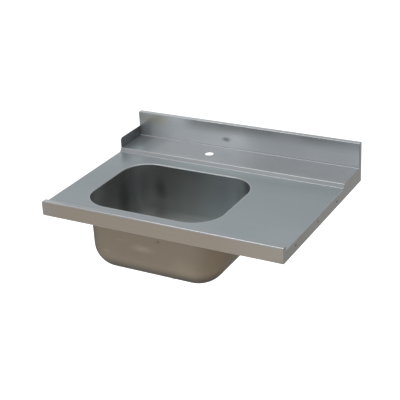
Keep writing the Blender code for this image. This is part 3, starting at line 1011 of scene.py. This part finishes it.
def corner_zone(face):
    """The steel of a face on the outside of a bead's end, one of the lit and shaded copies with painted
    light.
    """
    normal = face.normal
    if abs(normal.x) > flat_enough:
        return end_face
    if normal.y < 0 and normal.z < upright_enough:
        return front_face
    if normal.z > flat_enough:
        return bead
    return bead_bends


def build_corner(side, outer, inward, fall):
    """The welded end of the front bead: a block of its own section, hollowed to sheet thickness."""
    shape = corner_block(outer, inward, bead_levels(corner_width, fall, 0), deck_start)
    give_finishes(shape, corner_steels_with_painted_light, corner_zone)
    corner = new_piece(f"bead_end_{side}", shape, *corner_steels_with_painted_light)
    behind = deck_start + overrun
    below = -apron_height - overrun
    open_side = [(behind, -sheet), (behind, below), (return_flange, below)]
    levels = bead_levels(corner_width + overrun, fall, sheet)
    cut(corner, corner_block(outer, inward, levels, return_flange, sheet, open_side))
    settle(corner, "brushed_worktop_steel", f"front_corner_{side}")


# End plates


def build_plate(name, node_name, outline, x, *finishes):
    """A plate of sheet thickness with its outline in the YZ plane, from x towards +X."""
    shape = solid_from([(x, across, up) for across, up in outline], (sheet, 0, 0))
    for side in shape.faces:
        side.material_index = 0 if side.normal.x < -flat_enough else 1 if side.normal.x > flat_enough else 2
    plate = new_piece(name, shape, *finishes)
    modify(
        plate, "BEVEL", width=edge_break, segments=edge_steps, limit_method="ANGLE", angle_limit=sharp_from
    )
    settle(plate, "brushed_worktop_steel", node_name)


def build_cheeks():
    foot = deck_back
    upper = [point for point in rear_path if point.y >= 0 and point.x >= foot][:-1]
    lower = [(depth, -apron_height), (foot, -apron_height), (foot, 0)]
    build_plate("end_cheek_right", "right_end_cheek", upper + lower, length - sheet, mill, end_face, crown)
    stand = folded_path(
        (foot, -apron_height, 0), (foot, 0, 0),
        (step_foot, 0, 0), (ledge_front, ledge_height, 0),
        (ledge_front, cheek_top, cheek_round), (splash_front, cheek_top, 0),
        (splash_front, splash_top, small_bend), (depth, splash_top, small_bend),
        (depth, -apron_height, 0),
    )
    build_plate("splash_cheek_left", "left_end_cheek", stand, cheek_left, end_face, cheek, crown)


# Sections under the deck


def section(name, line, shift):
    """A folded sheet, drawn out from a line of places by a shift."""
    shape = bmesh.new()
    draw_out(shape, draw_line(shape, line), shift)
    face_up(shape)
    made = new_piece(name, shape, mill)
    thicken(made, sheet)
    return made


def build_rear_apron():
    path = folded_path(
        (depth - return_flange, -rear_apron_drop, 0), (depth, -rear_apron_drop, small_bend),
        (depth, ledge_height, small_bend), (splash_front + sheet, ledge_height, 0),
    )
    line = [(rear_left, across, up) for across, up in path]
    apron = section("rear_channel", line, (rear_right - rear_left, 0, 0))
    settle(apron, "folded_section_steel", "rear_apron")


def spot_welds(middle, start, end):
    """Shallow round dents in two rows, where the flanges are spot welded to the deck."""
    shape = bmesh.new()
    reach = hat_width / 2 + hat_flange * weld_row_share
    count = int((end - start) / spot_weld_pitch)
    level = under_deck - sheet - spot_weld_depth
    for number in range(count):
        y = start + (number + 0.5) * (end - start) / count
        for x in (middle - reach, middle + reach):
            add_round(shape, spot_weld, (x, y, level), 4 * spot_weld_depth, steps=small_steps)
    return shape


def build_hat(name, node_name, middle, start, end):
    """A hat section along Y whose two flanges lie under the deck."""
    half = hat_width / 2
    foot = under_deck - hat_height
    path = folded_path(
        (-half - hat_flange, under_deck, 0), (-half, under_deck, hat_bend),
        (-half, foot, hat_bend), (half, foot, hat_bend),
        (half, under_deck, hat_bend), (half + hat_flange, under_deck, 0),
    )
    line = [(middle + across, start, up) for across, up in path]
    hat = section(name, line, (0, end - start, 0))
    cut(hat, spot_welds(middle, start, end))
    settle(hat, "folded_section_steel", node_name)


def build_hats():
    first = bowl_x + bowl_length / 2 + bowl_rim
    bays = ceil((length - first) / hat_pitch)
    spacing = (length - first) / bays
    inner_front = return_flange + leg_rail_end
    for number in range(1, bays):
        hat = f"drainer_stiffener_{number}"
        build_hat(f"drainer_hat_{number}", hat, first + spacing * number, inner_front, deck_back)
    build_hat("leg_hat", "leg_rail", leg_rail_x, inner_front, depth - return_flange - clearance)


# Turned pieces


def turn(name, path, finish, centre=waste_centre, axis=upwards):
    """A closed (radius, height) outline turned round an axis through the centre."""
    shape = bmesh.new()
    points = [shape.verts.new((max(across, 0), 0, up)) for across, up in path]
    edges = [shape.edges.new(pair) for pair in zip(points, points[1:] + points[:1])]
    bmesh.ops.spin(
        shape, geom=points + edges, cent=(0, 0, 0), axis=upwards, angle=2 * pi, steps=turn_steps,
        use_merge=True, use_duplicate=False
    )
    bmesh.ops.remove_doubles(shape, verts=shape.verts, dist=merge_distance)
    face_out(shape)
    bmesh.ops.transform(shape, matrix=tilted(centre, axis), verts=shape.verts)
    return new_piece(name, shape, finish)


def ring_outline(inner, outer, top, bottom, edge):
    """A ring between two diameters, with rounded edges."""
    corners = [(inner / 2, top), (outer / 2, top), (outer / 2, bottom), (inner / 2, bottom)]
    return closed_path(*corners, edge=edge)


def places_round(reach, count, level, start=0):
    """Places spread evenly round the waste's axis, from a start given in steps."""
    angles = [2 * pi * (number + start) / count for number in range(count)]
    return [(bowl_x + reach * cos(angle), bowl_y + reach * sin(angle), level) for angle in angles]


def thread(radius, top, bottom):
    """The corners of a thread's outline from top to bottom, inside a radius."""
    count = int((top - bottom) / thread_pitch)
    corners = []
    for number in range(count):
        crest = top - (number + 0.5) * thread_pitch
        corners.append((radius - thread_depth, crest + thread_pitch / 2, 0))
        corners.append((radius, crest, 0))
    corners.append((radius - thread_depth, top - count * thread_pitch, 0))
    return corners


def build_leg_sockets():
    top = under_deck - hat_height - sheet
    under_plate = top - socket_plate
    foot = under_plate - socket_length
    outer = leg_tube / 2 + socket_wall
    outline = closed_path(
        (0, top, 0), (socket_plate_width / 2, top),
        (socket_plate_width / 2, under_plate), (outer, under_plate, socket_weld),
        (outer, foot), (leg_tube / 2, foot),
        (leg_tube / 2, under_plate, 0), (0, under_plate, 0),
    )
    level = under_plate - set_screw_drop - clearance
    for end_name, y in (("front", leg_inset), ("rear", depth - leg_inset)):
        socket = turn(f"leg_cup_{end_name}", outline, mill, (leg_rail_x, y, 0))
        place = (leg_rail_x + (leg_tube + socket_wall) / 2, y, level)
        drill(socket, set_screw + 2 * clearance, place, set_screw_length, sideways, turn_steps // 2)
        settle(socket, "folded_section_steel", f"leg_socket_{end_name}")
        build_set_screw(end_name, y, level)


def build_set_screw(end_name, y, level):
    """A socket set screw along X, with its thread and key hole."""
    half = set_screw_length / 2
    chamfer = thread_depth
    corners = [(0, half, 0), (set_screw / 2 - chamfer, half, 0)]
    corners += thread(set_screw / 2, half - chamfer, chamfer - half)
    corners += [(set_screw / 2 - chamfer, -half, 0), (0, -half, 0)]
    middle = (leg_rail_x + leg_tube / 2 + half, y, level)
    screw = turn(f"clamp_screw_{end_name}", closed_path(*corners), zinc, middle, sideways)
    mouth = (middle[0] + half, y, level)
    drill(screw, set_screw_key, mouth, 2 * set_screw_key_depth, sideways, key_sides)
    settle(screw, "zinc_plated_screw", f"leg_set_screw_{end_name}")


# Waste


def build_cup():
    outline = closed_path(
        (waste_seat / 2, flange_top), (waste_flange / 2, flange_top, waste_flange_round),
        (waste_flange / 2, flange_level), (waste_cup / 2, flange_level),
        (waste_cup / 2, cup_floor, cup_round), (waste_neck / 2, neck_top, waste_round),
        *thread(waste_neck / 2, neck_top - neck_shoulder, neck_end + neck_lead),
        (waste_neck / 2 - thread_depth, neck_end, 0), (neck_bore, neck_end, 0),
        (neck_bore, neck_top + waste_metal, inner_round),
        (cup_bore, cup_floor + waste_metal, inner_round), (cup_bore, seat_level),
        (waste_seat / 2, seat_level, 0),
    )
    settle(turn("waste_body", outline, turned), "turned_waste_steel", "waste_cup")


def build_ring(name, node_name, finish, slot, inner, outer, top, height, edge):
    """A flat ring round the waste's axis.  Gives the level for what lies under it."""
    bottom = top - height
    settle(turn(name, ring_outline(inner, outer, top, bottom, edge), finish), slot, node_name)
    return bottom - clearance


def build_seals():
    """The seals above and under the bowl's floor and the slip ring.  Gives the level under them."""
    edge = seal_thickness / 3
    top = -bowl_depth + seal_thickness + clearance
    width = waste_flange - 2 * waste_metal
    seal = (rubber, "black_rubber", waste_hole)
    build_ring("flange_seal", "waste_top_seal", *seal, width, top, seal_thickness, edge)
    top = under_bowl - clearance
    width = lock_nut_width
    top = build_ring("bowl_seal", "waste_under_seal", *seal, width, top, under_seal_thickness, 2 * edge)
    slip = (nylon, "white_waste_plastic", waste_hole)
    return build_ring("slip_ring", "waste_friction_ring", *slip, width, top, friction_ring_thickness, edge)


def build_lock_nut(top):
    """The ring nut under the bowl, with gaps for a spanner cut into its rim."""
    bottom = top - lock_nut_height
    outline = ring_outline(waste_cup + 2 * clearance, lock_nut_width, top, bottom, 2 * edge_break)
    nut = turn("bowl_lock_nut", outline, nylon)
    shape = bmesh.new()
    size = Matrix.Diagonal((2 * lug_depth, lug_width, lock_nut_height + overrun, 1))
    out = Matrix.Translation((lock_nut_width / 2, 0, 0))
    middle = Matrix.Translation((bowl_x, bowl_y, (top + bottom) / 2))
    for number in range(lock_nut_lugs):
        spin = Matrix.Rotation(2 * pi * number / lock_nut_lugs, 4, "Z")
        bmesh.ops.create_cube(shape, size=1, matrix=middle @ spin @ out @ size)
    cut(nut, shape)
    settle(nut, "white_waste_plastic", "waste_lock_nut")


def build_tail():
    bore = tail_width / 2 - waste_metal
    seal = (rubber, "black_rubber", 2 * bore, waste_neck)
    top = neck_end - clearance
    collar_top = build_ring("tail_washer", "tail_seal", *seal, top, seal_thickness, seal_thickness / 3)
    collar_bottom = collar_top - tail_collar
    tail_end = collar_top - tail_length
    outline = closed_path(
        (bore, collar_top), (waste_neck / 2, collar_top),
        (waste_neck / 2, collar_bottom), (tail_width / 2, collar_bottom, 0),
        (tail_width / 2, tail_end), (bore, tail_end),
    )
    settle(turn("outlet_tube", outline, turned), "turned_waste_steel", "tailpiece")
    build_tail_nut(collar_bottom - clearance)


def build_tail_nut(lip_top):
    """The nut on the cup's neck, with grip grooves round it."""
    lip_bottom = lip_top - tail_nut_lip
    nut_top = lip_bottom + tail_nut_height
    inner = waste_neck / 2 + clearance
    lip_bore = tail_width / 2 + clearance
    outline = closed_path(
        (inner, nut_top), (tail_nut_width / 2, nut_top, inner_round),
        (tail_nut_width / 2, lip_bottom, waste_round), (lip_bore, lip_bottom),
        (lip_bore, lip_top, 0), (inner, lip_top, 0),
    )
    nut = turn("outlet_nut", outline, nylon)
    shape = bmesh.new()
    reach = tail_nut_width / 2 + rib_groove / 2 - rib_groove_depth
    for place in places_round(reach, tail_nut_ribs, (nut_top + lip_bottom) / 2, 0.5):
        add_round(shape, rib_groove, place, tail_nut_height - 2 * rib_groove_end, steps=small_steps)
    cut(nut, shape)
    settle(nut, "white_waste_plastic", "tail_nut")


# Strainer


def build_basket():
    wall = waste_metal
    rim_top = basket_rim_level + wall / 2
    rim_edge = waste_seat / 2 - clearance
    side = cup_bore - clearance
    floor = basket_floor
    stem_hole = stem / 2 + clearance
    outline = closed_path(
        (side - wall, rim_top, basket_rim_round), (rim_edge, rim_top, basket_hem_round),
        (rim_edge, basket_rim_level, 0), (side, basket_rim_level, basket_rim_round),
        (side - basket_taper, floor, basket_round), (stem_hole, floor, 0),
        (stem_hole, floor + wall, 0), (side - basket_taper - wall, floor + wall, inner_round),
    )
    basket = turn("basket", outline, turned)
    shape = bmesh.new()
    for share in drain_ring_shares:
        reach = side * share
        for place in places_round(reach, int(2 * pi * reach / drain_hole_pitch), floor):
            add_round(shape, drain_hole, place, overrun, steps=drain_hole_steps)
    cut(basket, shape)
    settle(basket, "turned_waste_steel", "strainer_basket", body="strainer")


def build_plug():
    """The strainer's plug seal, and its knob with the stem and the washer on the basket's floor."""
    top = basket_floor - clearance
    bottom = top - plug_seal_thickness
    hole = stem / 2 + clearance
    outline = closed_path(
        (hole, top, 0), (plug_seal / 2, top), (waste_throat / 2, bottom), (hole, bottom, 0)
    )
    settle(turn("plug_washer", outline, rubber), "black_rubber", "strainer_plug_seal", body="strainer")
    knob_foot = basket_rim_level + basket_depth * (knob_foot_share - 1)
    knob_top = knob_foot + knob_height
    washer_top = basket_floor + 2 * waste_metal + clearance
    outline = closed_path(
        (0, knob_top, 0), (knob / 2, knob_top, knob_round),
        (knob / 2, knob_foot, knob_round), (stem / 2, knob_foot, inner_round),
        (stem / 2, washer_top, 0), (knob / 2, washer_top),
        (knob / 2, washer_top - waste_metal), (stem / 2, washer_top - waste_metal, 0),
        (stem / 2, bottom - clearance), (0, bottom - clearance, 0),
    )
    settle(turn("lift_knob", outline, turned), "turned_waste_steel", "strainer_knob", body="strainer")


# Floor, light and camera

floor_drop = 0.87
floor_reach = 30.0
floor_paint = 0.92
floor_glow = 0.64
sky_fill = 0.5
softbox_size = (2.4, 1.6)
softbox_place = (0.3, 0.0, 2.3)
softbox_watts = 60.0
camera_place = (2.27656, -2.81396, 1.64996)
camera_yaw = radians(29.410)
camera_pitch = radians(-25.038)
camera_roll = radians(-3.008)
camera_lens = 93.52


def seen_directly(tree):
    """1 for a ray from the camera, from a reflection or through glass, else 0."""
    camera, glossy, through = [
        node(tree, "LightPath", {}, f"Is {kind} Ray") for kind in ("Camera", "Glossy", "Transmission")
    ]
    return maths(tree, "MAXIMUM", maths(tree, "MAXIMUM", camera, glossy), through)


def build_floor():
    shape = bmesh.new()
    bmesh.ops.create_grid(shape, x_segments=1, y_segments=1, size=floor_reach)
    paint, tree = new_material("pale_floor")
    pale = node(tree, "BsdfDiffuse", {"Color": opaque(floor_paint)})
    glow = maths(tree, "MULTIPLY", seen_directly(tree), floor_glow)
    white = node(tree, "Emission", {"Color": opaque(1), "Strength": glow})
    finish_with(tree, node(tree, "AddShader", {0: pale, 1: white}))
    floor = new_piece("studio_floor", shape, paint)
    floor.location = origin - Vector((0, 0, floor_drop))


def build_light():
    world = bpy.data.worlds.new("studio")
    scene.world = world
    world.use_nodes = True
    tree = world.node_tree
    tree.nodes.clear()
    strength = node(tree, "MapRange", {"Value": seen_directly(tree), "To Min": sky_fill, "To Max": 1.0})
    sky = node(tree, "Background", {"Color": opaque(1), "Strength": strength})
    node(tree, "OutputWorld", {"Surface": sky})
    lamp = bpy.data.lights.new("softbox", "AREA")
    lamp.shape = "RECTANGLE"
    lamp.size, lamp.size_y = softbox_size
    lamp.energy = softbox_watts
    box = new_object("softbox", lamp)
    box.location = origin + Vector(softbox_place)


def build_camera():
    """The photograph's camera, which looks down its own -Z axis with +Y up."""
    lens = bpy.data.cameras.new("photo_camera")
    lens.lens = camera_lens
    camera = new_object("photo_camera", lens)
    yaw = Matrix.Rotation(camera_yaw, 4, "Z")
    pitch = Matrix.Rotation(pi / 2 + camera_pitch, 4, "X")
    roll = Matrix.Rotation(camera_roll, 4, "Z")
    camera.matrix_world = Matrix.Translation(origin + Vector(camera_place)) @ yaw @ pitch @ roll
    scene.camera = camera


def main():
    build_camera()
    build_light()
    build_floor()
    build_worktop()
    build_bowl()
    build_corner("left", 0, 1, corner_fall)
    build_corner("right", length, -1, 0)
    build_cheeks()
    build_rear_apron()
    build_hats()
    build_leg_sockets()
    build_cup()
    build_lock_nut(build_seals())
    build_tail()
    build_basket()
    build_plug()
    scene.view_settings.view_transform = "Standard"


main()
